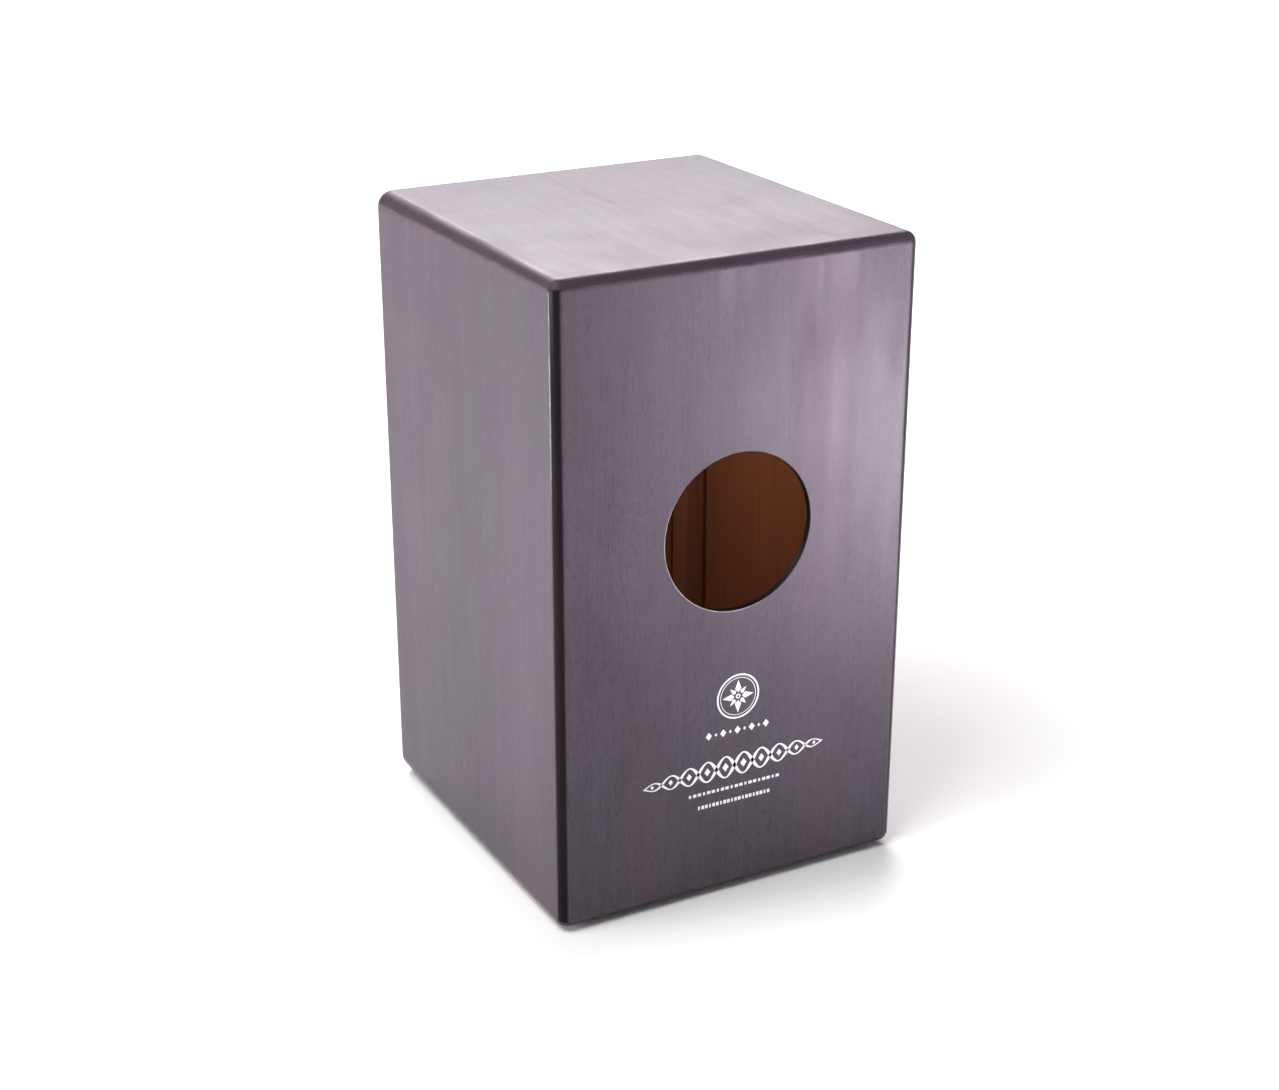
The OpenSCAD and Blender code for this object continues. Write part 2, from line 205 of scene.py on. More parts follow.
# Dark glue colours for the chamber's corners; the darkness is partly painted corner shade
GLUE_AND_CORNER_SHADE_DARK = srgb(44, 20, 8)
GLUE_AND_CORNER_SHADE_LIGHT = srgb(78, 38, 16)
LACQUER_TINT = (1.0, 0.92, 0.98, 1)
# Darkened reflection tint for the upright edges, a painted dark reflection
LACQUER_DULL = (0.36, 0.31, 0.35, 1)
BLUISH = (0.96, 0.96, 1.04)
VIOLET = (1.0, 0.96, 1.03)
FLOOR_WHITE = ((0.925, 0.938, 0.93, 1), (0.94, 0.953, 0.945, 1))

# Bump distances, in metres of height for a full step of noise
GRAIN_STEP = 0.00012
NICK_STEP = 0.0003


# ---- materials ----

def stained_wood():
    """Purple-grey stained veneer under satin lacquer; the grain runs up the walls and across the seat."""
    s = Shader("stained_wood")
    normal = s.add("ShaderNodeNewGeometry").outputs["Normal"]
    normal_up = s.math("ABSOLUTE", s.part(normal, 2))
    is_level = s.remap(normal_up, 0.6, 0.8, smooth=True)
    # Grain lines wander a little, more so in patches
    wander = s.noise(s.scaled((7, 7, 2)), 2.0)
    sway = s.math("MULTIPLY", s.math("SUBTRACT", wander, 0.5), 0.02)
    x, y, z = (s.part(s.coords, i) for i in range(3))
    x = s.math("ADD", x, sway)
    y = s.math("ADD", y, sway)

    def grain(across, along):
        """Coordinates stretched along the grain, in turns per metre."""
        x_across = s.math("MULTIPLY", x, across)
        wall = s.vector(x_across, s.math("MULTIPLY", y, across), s.math("MULTIPLY", z, along))
        seat = s.vector(x_across, s.math("MULTIPLY", y, along), s.math("MULTIPLY", z, across))
        both = s.add("ShaderNodeMix", data_type="VECTOR")
        s.set(both.inputs[0], is_level)
        s.set(both.inputs[4], wall)
        s.set(both.inputs[5], seat)
        return both.outputs[1]

    fibre = s.noise(grain(1400, 60), 3.0, 0.65)
    streak = s.noise(grain(260, 9), 4.0, 0.62, 0.4)
    figure = s.noise(grain(60, 5), 4.0, 0.6, 0.8)
    band = s.noise(grain(16, 0.9), 2.0)
    speck = s.noise(s.scaled((620, 620, 380)), 4.0, 0.7)
    blotch = s.noise(s.scaled((14, 14, 10)), 4.0, 0.6)
    cloud = s.noise(s.scaled((5, 5, 4), (4, 1, 7)), 3.0, 0.55)

    tone = 0.0
    for value, weight in ((fibre, 0.28), (streak, 0.18), (figure, 0.12),
                          (band, 0.14), (speck, 0.28), (blotch, 0.22)):
        tone = s.math("ADD", tone, s.math("MULTIPLY", s.remap(value, 0.28, 0.72), weight))
    colour = s.mix(tone, STAIN_DARK, STAIN_LIGHT)
    # Slow drift between a cool green-grey and a warm purple
    colour = s.mix(s.remap(cloud, 0.40, 0.62, 0.0, 0.34, smooth=True), colour, STAIN_COOL)
    colour = s.mix(s.remap(band, 0.48, 0.68, 0.0, 0.35, smooth=True), colour, STAIN_WARM)
    pores = s.noise(grain(1900, 110), 1.0)
    colour = s.mix(s.remap(pores, 0.62, 0.70, 0.0, 0.5, smooth=True), colour, PORE)

    # Scuffs lie in the plane of each face, so they need its two coordinates
    level_y = s.math("MULTIPLY", y, is_level)
    across = s.math("ADD", x, s.math("SUBTRACT", y, level_y))
    up = s.math("ADD", level_y, s.math("MULTIPLY", z, s.math("SUBTRACT", 1.0, is_level)))
    scuffed = scratches(s, across, up)
    colour = s.mix(s.math("MULTIPLY", scuffed, 0.25), colour, SCUFF)

    # The rounded edges are darker, partly from stain gathered there and partly as painted shade; on the
    # upright edges they are near black as a painted dark reflection. Use has worn thin lines on them through
    # to reddish wood, and these lines are partly a painted highlight
    edge = edge_mask(s, normal)
    core = s.remap(edge, 0.0, 0.40, smooth=True)
    upright = s.remap(normal_up, 0.15, 0.45, 1.0, 0.0, smooth=True)
    pooled_stain_and_shade = s.mix(upright, POOLED_STAIN_AND_SHADE_LEVEL, POOLED_STAIN_AND_DARK_REFLECTION_UPRIGHT)
    colour = s.mix(s.math("MULTIPLY", core, s.remap(upright, 0, 1, 0.60, 0.97)), colour, pooled_stain_and_shade)
    # Lines on the shoulders of the rounded edges, partly worn through to reddish wood and partly a painted
    # highlight; weaker on the upright edges
    shoulder_line_noise = s.noise(grain(40, 14), 5.0, 0.7)
    shoulder = s.math("MULTIPLY", s.remap(edge, 0.02, 0.12, smooth=True),
                      s.remap(edge, 0.16, 0.38, 1.0, 0.0, smooth=True))
    shoulder_line_breakup = s.remap(shoulder_line_noise, 0.42, 0.64, 0.20, 0.85, smooth=True)
    shoulder_line = s.product(shoulder, shoulder_line_breakup, s.remap(upright, 0, 1, 1.0, 0.35))
    colour = s.mix(shoulder_line, colour, WORN_LINE_AND_HIGHLIGHT)

    # The panels meet in hairlines at the tapa and at the back panel
    for plane in (Y_SKIN, Y_REAR):
        gap = s.math("ABSOLUTE", s.math("SUBTRACT", s.part(s.coords, 1), plane))
        colour = s.mix(s.remap(gap, 0.08 * MM, 0.22 * MM, 0.55, 0.0), colour, SEAM_DARK)
    colour = s.mix(inside_mask(s), colour, inner_brown(s))
    colour = hole_edge(s, colour)

    rough = s.remap(blotch, 0.3, 0.7, 0.33, 0.45)
    rough = s.math("ADD", rough, s.remap(figure, 0.3, 0.7, -0.045, 0.045))
    rough = s.math("ADD", rough, s.math("MULTIPLY", fibre, 0.08))
    rough = s.math("ADD", rough, s.math("MULTIPLY", scuffed, 0.12))
    gloss = s.remap(edge, 0.03, 0.20, smooth=True)
    rough = s.math("ADD", rough, s.math("MULTIPLY", gloss, s.remap(upright, 0, 1, 0.10, -0.28)))
    height = s.math("ADD", s.math("MULTIPLY", fibre, 0.5), s.math("MULTIPLY", streak, 0.5))
    bump = s.bump(height, 0.60, GRAIN_STEP)
    bump = s.bump(s.noise(s.scaled((420, 420, 420)), 3.0, 0.6), 0.40, GRAIN_STEP, bump)
    bump = s.bump(nicks(s), 0.6, NICK_STEP, bump)
    # Painted dark reflection: the reflections on the upright edges are darkened
    dull = s.math("MULTIPLY", upright, s.remap(edge, 0.12, 0.5, smooth=True))
    tint = s.mix(dull, LACQUER_TINT, LACQUER_DULL)
    return s.finish(Base_Color=colour, Roughness=rough, Normal=bump, Specular_IOR_Level=0.25,
                    Specular_Tint=tint)


def hole_edge(s, colour):
    """The wall of the cut through the back panel is coloured near black; a pale arc on one side of its rim is
    a painted highlight.
    """
    x = s.math("SUBTRACT", s.part(s.coords, 0), HOLE_AT.x)
    y = s.part(s.coords, 1)
    z = s.math("SUBTRACT", s.part(s.coords, 2), HOLE_AT.z)
    radius = s.math("SQRT", s.math("ADD", s.math("MULTIPLY", x, x), s.math("MULTIPLY", z, z)))
    behind = s.math("GREATER_THAN", y, Y_REAR - 1 * MM)
    wall = s.math("MULTIPLY", behind, s.math("LESS_THAN", radius, HOLE_R + 0.4 * MM))
    colour = s.mix(wall, colour, HOLE_WALL)
    # The painted highlight arc faces down and to the +X side
    side = s.math("SUBTRACT", s.math("MULTIPLY", x, 0.80), s.math("MULTIPLY", z, 0.60))
    arc = s.remap(s.math("DIVIDE", side, radius), 0.15, 0.65, smooth=True)
    ring = s.math("MULTIPLY", s.remap(radius, HOLE_R + 0.2 * MM, HOLE_R + 0.4 * MM),
                  s.remap(radius, HOLE_R + 0.6 * MM, HOLE_R + 0.9 * MM, 1.0, 0.0))
    patchy_noise = s.remap(s.noise(s.scaled((160, 160, 160)), 3.0, 0.6), 0.3, 0.5, 0.45, 1.0)
    return s.mix(s.product(arc, ring, behind, patchy_noise), colour, HOLE_RIM_HIGHLIGHT)


def edge_mask(s, normal):
    """1 on the rounded edges of the body, 0 on its flat faces."""
    parts = [s.math("ABSOLUTE", s.part(normal, i)) for i in range(3)]
    top = s.math("MAXIMUM", parts[0], s.math("MAXIMUM", parts[1], parts[2]))
    return s.remap(top, 0.80, 0.9995, 1.0, 0.0)


def inside_mask(s):
    """1 where a point lies inside the walls, away from the body's outer faces."""
    margin = 0.5 * MM
    x = s.math("ABSOLUTE", s.part(s.coords, 0))
    y = s.part(s.coords, 1)
    z = s.part(s.coords, 2)
    parts = [s.math("LESS_THAN", x, X_IN + margin)]
    for value, low, high in ((y, Y_SKIN, Y_REAR), (z, Z_IN_LOW, Z_IN_HIGH)):
        parts += [s.math("GREATER_THAN", value, low - margin), s.math("LESS_THAN", value, high + margin)]
    return s.product(*parts)


def inner_brown(s):
    """Dark brown stain with the same upright grain, for the inside of the box."""
    grain = s.noise(s.scaled((220, 220, 7)), 3.0, 0.6)
    wide = s.noise(s.scaled((30, 30, 2)), 2.0)
    tone = s.math("ADD", s.math("MULTIPLY", s.remap(grain, 0.3, 0.7), 0.5), s.math("MULTIPLY", wide, 0.5))
    return s.mix(tone, INNER_DARK, INNER_LIGHT)


def scratches(s, across, up):
    """Faint fine scuffs in two directions in the plane of a face, gathered in patches."""
    lengthwise, crosswise = 30, 700
    total = 0.0
    for turn in (0.5, -0.75):
        c, sn = math.cos(turn), math.sin(turn)
        along, over = (s.math("ADD", s.math("MULTIPLY", across, m), s.math("MULTIPLY", up, n))
                       for m, n in ((lengthwise * c, lengthwise * sn), (-crosswise * sn, crosswise * c)))
        line = s.remap(s.noise(s.vector(along, over, turn), 1.0), 0.73, 0.80, smooth=True)
        total = s.math("ADD", total, line)
    patch = s.remap(s.noise(s.scaled((9, 9, 9), (3, 8, 2)), 2.0), 0.50, 0.68, smooth=True)
    return s.math("MULTIPLY", s.math("MINIMUM", total, 1.0), patch)


def nicks(s):
    """Sparse small dents, as a height."""
    cell = s.add("ShaderNodeTexVoronoi", feature="F1")
    s.set(cell.inputs["Vector"], s.coords)
    cell.inputs["Scale"].default_value = 28.0
    dot = s.remap(cell.outputs["Distance"], 0.015, 0.045, 1.0, 0.0, smooth=True)
    keep = s.math("GREATER_THAN", s.part(cell.outputs["Color"], 0), 0.82)
    return s.math("MULTIPLY", dot, s.math("MULTIPLY", keep, -1.0))


def inner_wood():
    """Brown stain without lacquer, for the battens, the bridges and the glue strips."""
    s = Shader("inner_wood")
    grain = s.noise(s.scaled((300, 300, 10)), 3.0, 0.6)
    rough = s.remap(grain, 0.3, 0.7, 0.55, 0.7)
    return s.finish(Base_Color=inner_brown(s), Roughness=rough, Normal=s.bump(grain, 0.3, 0.2 * MM))


def metal(name, dark, light, rough, marks_scale=(400, 400, 400)):
    """Metal with fine tool marks and slight tarnish."""
    s = Shader(name)
    marks = s.noise(s.scaled(marks_scale), 3.0, 0.6)
    stain = s.noise(s.scaled((45, 45, 45)), 3.0, 0.6)
    colour = s.mix(s.remap(stain, 0.35, 0.7), light, dark)
    roughness = s.remap(marks, 0.3, 0.7, rough - 0.06, rough + 0.08)
    return s.finish(Base_Color=colour, Metallic=1.0, Roughness=roughness,
                    Normal=s.bump(marks, 0.05, 0.1 * MM))


def rubber():
    """Black rubber with a little dust."""
    s = Shader("foot_rubber")
    grain = s.noise(s.scaled((900, 900, 900)), 2.0)
    dust = s.remap(s.noise(s.scaled((70, 70, 70)), 4.0, 0.6), 0.5, 0.75, 0.0, 0.35, smooth=True)
    colour = s.mix(dust, RUBBER_BLACK, RUBBER_DUST)
    return s.finish(Base_Color=colour, Roughness=0.72, Normal=s.bump(grain, 0.2, 0.15 * MM))


def silver_ink():
    """Screen-printed silver ink, slightly worn so that the stain shows through."""
    s = Shader("silver_ink")
    patchy_noise = s.noise(s.scaled((420, 420, 420)), 4.0, 0.7)
    sheen = s.noise(s.scaled((90, 90, 90)), 2.0)
    colour = s.mix(s.remap(patchy_noise, 0.60, 0.70, 0.0, 0.6, smooth=True), INK_SILVER, INK_WORN)
    rough = s.remap(sheen, 0.3, 0.7, 0.38, 0.5)
    return s.finish(Base_Color=colour, Metallic=0.25, Roughness=rough)


def dried_glue_and_corner_shade():
    """Glossy dark brown glue, stained with the wood; its darkness is partly painted shade in the corners."""
    s = Shader("dried_glue_and_corner_shade")
    lumps = s.noise(s.scaled((140, 140, 140)), 3.0, 0.6)
    colour = s.mix(lumps, GLUE_AND_CORNER_SHADE_DARK, GLUE_AND_CORNER_SHADE_LIGHT)
    return s.finish(Base_Color=colour, Roughness=0.3, Normal=s.bump(lumps, 0.4, 0.4 * MM))


def pale_floor():
    """White floor that glows: a painted light near the object that lifts its shadow, and faintly away from it
    so that it stays white out to the horizon.
    """
    s = Shader("pale_floor")
    soft = s.noise(s.scaled((2, 2, 2)), 2.0)
    colour = s.mix(soft, *FLOOR_WHITE)
    distance = s.add("ShaderNodeVectorMath", operation="LENGTH")
    s.set(distance.inputs[0], s.scaled((1, 1, 0)))
    distance = distance.outputs["Value"]
    # Painted light: the floor glows in a ring round the object and lifts its shadow there
    near = s.remap(distance, 0.38, 0.66, 0.0, 0.30, smooth=True)
    # By the back panel the floor glows, a painted light that keeps it white almost up to the object; the soft
    # shadow beside it stays
    behind = s.remap(s.part(s.coords, 1), 0.155, 0.30, 0.0, 0.42, smooth=True)
    beside = s.remap(s.part(s.coords, 0), -0.28, -0.12, 0.0, 1.0, smooth=True)
    far = s.remap(distance, 0.9, 3.0, 0.0, 0.85, smooth=True)
    glow = s.math("ADD", s.math("MAXIMUM", near, s.math("MULTIPLY", behind, beside)), far)
    return s.finish(Base_Color=colour, Roughness=0.75, Specular_IOR_Level=0.2, Emission_Color=(1, 1, 1, 1),
                    Emission_Strength=glow)


SLOT_MATERIALS = {
    "stained_wood": stained_wood(),
    "inner_wood": inner_wood(),
    "zinc_plate": metal("zinc_plate", srgb(150, 148, 138), srgb(205, 204, 198), 0.34),
    "screw_steel": metal("screw_steel", srgb(120, 120, 124), srgb(190, 191, 196), 0.28),
    "carrier_steel": metal("carrier_steel", srgb(110, 110, 114), srgb(172, 173, 178), 0.38, (60, 60, 900)),
    "string_steel": metal("string_steel", srgb(158, 153, 144), srgb(190, 186, 176), 0.30),
    "brass": metal("brass", srgb(140, 104, 48), srgb(214, 172, 92), 0.26),
    "foot_rubber": rubber(),
    "tapa_screw": metal("tapa_screw", srgb(24, 24, 26), srgb(62, 62, 66), 0.40),
}
SILVER_INK = silver_ink()
GLUE_AND_CORNER_SHADE = dried_glue_and_corner_shade()


def dress_nodes():
    """Gives each CAD node the material of its record slot."""
    for part in frame["record"]["subparts"]:
        node = NODES[part["node"]]
        material = SLOT_MATERIALS[part["material_slot"]]
        if not node.material_slots:
            node.data.materials.append(material)
        for slot in node.material_slots:
            slot.material = material


def smooth_body(name):
    """Shades the rounded edges of a panel with the true normals of the body's outer surface."""
    mesh = NODES[name].data
    count = len(mesh.loops)
    verts = np.empty(len(mesh.vertices) * 3)
    mesh.vertices.foreach_get("co", verts)
    loop_verts = np.empty(count, int)
    mesh.loops.foreach_get("vertex_index", loop_verts)
    points = verts.reshape(-1, 3)[loop_verts]
    normals = np.empty(count * 3)
    mesh.corner_normals.foreach_get("vector", normals)
    normals = normals.reshape(-1, 3)
    along = (points[:, 1] - Y_FRONT - FRONT_R) / (Y_BACK - Y_FRONT - FRONT_R - REAR_R)
    radius = FRONT_R + (REAR_R - FRONT_R) * np.clip(along, 0, 1)
    half_h = (BODY_TOP - BODY_LOW) / 2
    middle = (BODY_TOP + BODY_LOW) / 2
    core = np.stack([
        np.clip(points[:, 0], radius - HALF_W, HALF_W - radius),
        np.clip(points[:, 1], Y_FRONT + FRONT_R, Y_BACK - REAR_R),
        np.clip(points[:, 2], middle - half_h + radius, middle + half_h - radius),
    ], 1)
    away = points - core
    length = np.linalg.norm(away, axis=1)
    true = away / np.maximum(length, 1e-9)[:, None]
    outer = (np.abs(length - radius) < 0.25 * MM) & ((true * normals).sum(1) > 0.9)
    normals[outer] = true[outer]
    mesh.normals_split_custom_set([tuple(n) for n in normals])


# ---- mesh helpers ----

def add_piece(name, mesh, body, slot, *nodes, sharp=35, material=None):
    """Links a finished mesh as a piece on a body, in place of any CAD nodes named."""
    piece = bpy.data.objects.new(name, mesh)
    bpy.context.scene.collection.objects.link(piece)
    mesh.materials.clear()
    mesh.materials.append(material or SLOT_MATERIALS[slot])
    if sharp:
        mesh.shade_smooth()
        mesh.set_sharp_from_angle(angle=math.radians(sharp))
    if body:
        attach(piece, body)
    if nodes:
        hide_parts(*nodes)
    return piece


def mesh_of(name, verts, faces):
    """A new mesh from vertex positions and faces of vertex numbers."""
    mesh = bpy.data.meshes.new(name)
    mesh.from_pydata([tuple(v) for v in verts], [], faces)
    mesh.update()
    return mesh


def joined(name, parts):
    """One mesh from (verts, faces) pairs."""
    verts, faces = [], []
    for part_verts, part_faces in parts:
        base = len(verts)
        verts.extend(part_verts)
        faces.extend([tuple(base + i for i in face) for face in part_faces])
    return mesh_of(name, verts, faces)


def turned(profile, segments, at=(0, 0, 0)):
    """Closed solid through rings (radius, z) about an upright axis, from its lowest end to its highest.
    A radius may be a function of the angle; a ring of radius 0 is a single point."""
    verts, faces, rings = [], [], []
    for radius, z in profile:
        if radius == 0:
            rings.append([len(verts)])
            verts.append((at[0], at[1], at[2] + z))
            continue
        ring = []
        for k in range(segments):
            angle = 2 * math.pi * k / segments
            r = radius(angle, z) if callable(radius) else radius
            ring.append(len(verts))
            verts.append((at[0] + r * math.cos(angle), at[1] + r * math.sin(angle), at[2] + z))
        rings.append(ring)
    for low, high in zip(rings, rings[1:]):
        for k in range(segments):
            a, b = low[k % len(low)], low[(k + 1) % len(low)]
            c, d = high[(k + 1) % len(high)], high[k % len(high)]
            face = tuple(dict.fromkeys((a, b, c, d)))
            if len(face) > 2:
                faces.append(face)
    return verts, faces


def tube(points, radius, sides=12):
    """Round bar along points, with flat caps."""
    points = [Vector(p) for p in points]
    verts, faces = [], []
    side = None
    for i, point in enumerate(points):
        ahead = (points[min(i + 1, len(points) - 1)] - points[max(i - 1, 0)]).normalized()
        side = ahead.orthogonal() if side is None else side - ahead * side.dot(ahead)
        side.normalize()
        across = ahead.cross(side)
        for k in range(sides):
            angle = 2 * math.pi * k / sides
            verts.append(tuple(point + radius * (math.cos(angle) * side + math.sin(angle) * across)))
    for i in range(len(points) - 1):
        for k in range(sides):
            a, b = i * sides + k, i * sides + (k + 1) % sides
            faces.append((a, b, b + sides, a + sides))
    faces.append(tuple(range(sides))[::-1])
    faces.append(tuple(range(len(verts) - sides, len(verts))))
    return verts, faces


def edited(mesh, edit):
    """The mesh after edit(body) has changed it as a bmesh."""
    body = bmesh.new()
    body.from_mesh(mesh)
    edit(body)
    body.to_mesh(mesh)
    body.free()
    return mesh


def clean_copy(name):
    """A CAD node's mesh with its split corners joined and its flat triangles merged."""
    def edit(body):
        bmesh.ops.remove_doubles(body, verts=body.verts, dist=2e-6)
        bmesh.ops.dissolve_limit(body, angle_limit=math.radians(0.6), verts=body.verts, edges=body.edges)
    return edited(NODES[name].data.copy(), edit)


def softened(node, body, slot, width):
    """A CAD node's shape with its sharp edges broken and its flats shaded flat."""
    mesh = clean_copy(node)
    mesh.shade_smooth()
    holder = bpy.data.objects.new("holder", mesh)
    bpy.context.scene.collection.objects.link(holder)
    bevel = holder.modifiers.new("bevel", "BEVEL")
    bevel.width = width
    bevel.segments = 3
    bevel.limit_method = "ANGLE"
    bevel.angle_limit = math.radians(50)
    weighted = holder.modifiers.new("weighted", "WEIGHTED_NORMAL")
    weighted.weight = 100
    depsgraph = bpy.context.evaluated_depsgraph_get()
    result = bpy.data.meshes.new_from_object(holder.evaluated_get(depsgraph), depsgraph=depsgraph)
    bpy.data.objects.remove(holder)
    return add_piece(node + "_soft", result, body, slot, node, sharp=None)


# ---- pieces ----

def hex_ring(flats):
    """Radius of a hexagon with this distance across its flats, with a corner at angle 0."""
    return lambda angle, z: flats / 2 / math.cos((angle % (math.pi / 3)) - math.pi / 6)


def tuner_screw(side):
    """Knurled socket-head screw with a real helical thread and a waist for its retaining ring."""
    node = "tuner_screw_" + side
    low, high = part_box(node)
    axis = (low + high) / 2
    at = (axis.x, axis.y, 0)
    head_r = high.x - axis.x
    head_top = Z_IN_LOW - 0.05 * MM
    ring_low, ring_high = (v.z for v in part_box("retaining_ring_" + side))
    thread_r, thread_step = 3.0 * MM, 0.1 * MM
    plain_r, waist_r = thread_r - 0.02 * MM, 2.55 * MM
    pitch = 1.0 * MM
    knurls, knurl_depth = 36, 0.18 * MM
    socket_top = low.z + 3 * MM
    shank_z = head_top - 0.4 * MM

    def knurl(angle, z):
        return head_r - (knurl_depth if round(angle * knurls / math.pi) % 2 else 0)

    def thread(angle, z):
        phase = ((z - ring_high) / pitch - angle / (2 * math.pi)) % 1
        crest = min(1, max(0, (abs(phase - 0.5) * 2 - 0.12) / 0.72))
        end = min(1, (z - ring_high) / pitch, max(0, (high.z - 1.2 * MM - z) / pitch))
        return thread_r - (0.08 + 0.55 * crest * max(0, end)) * MM

    socket = hex_ring(5 * MM)
    head = [(0, socket_top + 0.6 * MM), (socket, socket_top), (socket, low.z + 0.4 * MM),
            (3.3 * MM, low.z), (4.3 * MM, low.z), (head_r - 0.3 * MM, low.z + 0.35 * MM),
            (knurl, low.z + 0.7 * MM), (knurl, head_top - 0.8 * MM),
            (head_r - 0.3 * MM, head_top - 0.4 * MM), (4.5 * MM, head_top), (0, head_top)]
    shank = [(0, shank_z), (plain_r, shank_z), (plain_r, ring_low - 0.1 * MM),
             (waist_r, ring_low - 0.05 * MM), (waist_r, ring_high + 0.05 * MM),
             (thread_r - 0.1 * MM, ring_high + 0.1 * MM)]
    steps = int((high.z - 1.1 * MM - ring_high) / thread_step)
    shank += [(thread, ring_high + (0.2 + 0.1 * k) * MM) for k in range(steps - 2)]
    shank += [(2.3 * MM, high.z - 0.4 * MM), (1.9 * MM, high.z), (0, high.z)]
    mesh = joined(node, [turned(head, 2 * knurls, at), turned(shank, 36, at)])
    add_piece("tuner_screw_%s_threaded" % side, mesh, node, "screw_steel", node, sharp=30)


def rounded_path(corners, cut):
    """A polyline with each inner corner replaced by a short smooth curve."""
    corners = [Vector(c) for c in corners]
    path = [corners[0]]
    for before, corner, after in zip(corners, corners[1:], corners[2:]):
        a = corner + (before - corner).normalized() * cut
        b = corner + (after - corner).normalized() * cut
        for k in range(9):
            t = k / 8
            path.append(a * (1 - t) ** 2 + corner * 2 * t * (1 - t) + b * t ** 2)
    return path + [corners[-1]]


def wrap(a, b, radius, wire, pitch):
    """Thin wire wound round the line from a to b."""
    steps_per_turn = 12
    a, b = Vector(a), Vector(b)
    ahead = (b - a).normalized()
    side = ahead.orthogonal().normalized()
    across = ahead.cross(side)
    turns = (b - a).length / pitch
    count = int(turns * steps_per_turn)
    points = []
    for k in range(count + 1):
        angle = 2 * math.pi * turns * k / count
        points.append(a.lerp(b, k / count) + radius * (math.cos(angle) * side + math.sin(angle) * across))
    return tube(points, wire, 6)


def snare_strings(side):
    """Two plain wires with smooth bends over the bridges and a wound length at each end."""
    top_x, top_spread, low_spread = 45 * MM, 18 * MM, 9 * MM
    waist_r, wire_r = 1.75 * MM, 0.5 * MM
    winding = dict(radius=0.68 * MM, wire=0.2 * MM, pitch=0.42 * MM)
    sign = -1 if side == "left" else 1
    node = "snare_strings_" + side
    top_ball = sum(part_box("top_ball_ends"), Vector()) / 2
    low_ball = sum(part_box("ball_ends_" + side), Vector()) / 2
    middle = low_ball.x
    run_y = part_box(node)[0].y + 0.6 * MM
    bend_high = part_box("upper_bridge")[1].z + 2 * MM
    bend_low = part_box("lower_bridge")[0].z - 2 * MM
    parts = []
    for k in (-1, 1):
        a = Vector((sign * top_x + k * top_spread, top_ball.y, top_ball.z))
        b = Vector((middle + k * low_spread, low_ball.y, low_ball.z))
        first, last = Vector((a.x, run_y, bend_high)), Vector((b.x, run_y, bend_low))
        start = a + (first - a).normalized() * waist_r
        end = b + (last - b).normalized() * waist_r
        parts.append(tube(rounded_path([start, first, last, end], 4 * MM), wire_r, 12))
        parts.append(wrap(start.lerp(first, 0.25), start.lerp(first, 0.75), **winding))
        parts.append(wrap(end.lerp(last, 0.38), end.lerp(last, 0.62), **winding))
    piece = add_piece("snare_wires_" + side, joined(node, parts), None, "string_steel", node)
    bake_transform(piece)


def cross_recess(reach):
    """Radius of a plus sign's outline as a function of the angle; its corners lie at 15 and 45 degrees."""
    corner = math.radians(15)

    def radius(angle, z):
        off_arm = abs((angle + math.pi / 4) % (math.pi / 2) - math.pi / 4)
        if off_arm <= corner + 1e-6:
            return reach / math.cos(off_arm)
        return reach * math.tan(corner) / math.sin(off_arm)
    return radius


def screw_centres(node):
    """(x, z) centres of a node's separate screws, found from its vertices."""
    apart = 10 * MM
    data = NODES[node].data
    points = np.empty(len(data.vertices) * 3)
    data.vertices.foreach_get("co", points)
    groups = []
    for point in points.reshape(-1, 3)[:, (0, 2)]:
        for group in groups:
            if np.linalg.norm(group[0] - point) < apart:
                group.append(point)
                break
        else:
            groups.append([point])
    return [(np.min(group, 0) + np.max(group, 0)) / 2 for group in groups]


def tapa_screws(edge):
    """Countersunk cross-recess screws along one edge of the tapa, each turned by a different amount."""
    length, tip, shank_r = 16 * MM, 3 * MM, 1.75 * MM
    recess_depth, face_z = 1.3 * MM, 0.02 * MM
    profile = [(0, recess_depth), (cross_recess(0.9 * MM), recess_depth), (cross_recess(2.0 * MM), face_z),
               (2.3 * MM, face_z), (3.3 * MM, 0.08 * MM), (3.45 * MM, 0.2 * MM),
               (shank_r, 1.85 * MM), (shank_r, length - tip), (0, length)]
    towards_back = Matrix.Rotation(-math.pi / 2, 4, "X")
    node = "tapa_screws_" + edge
    screws = []
    for index, (x, z) in enumerate(screw_centres(node)):
        turn = Matrix.Rotation(0.7 * index + 0.3 * math.sin(5.1 * index), 4, "Z")
        place = Matrix.Translation((x, Y_FRONT, z)) @ towards_back @ turn
        verts, faces = turned(profile, 48)
        screws.append(([place @ Vector(v) for v in verts], faces))
    name = "tapa_screws_%s_cross" % edge
    add_piece(name, joined(name, screws), "root", "tapa_screw", node)


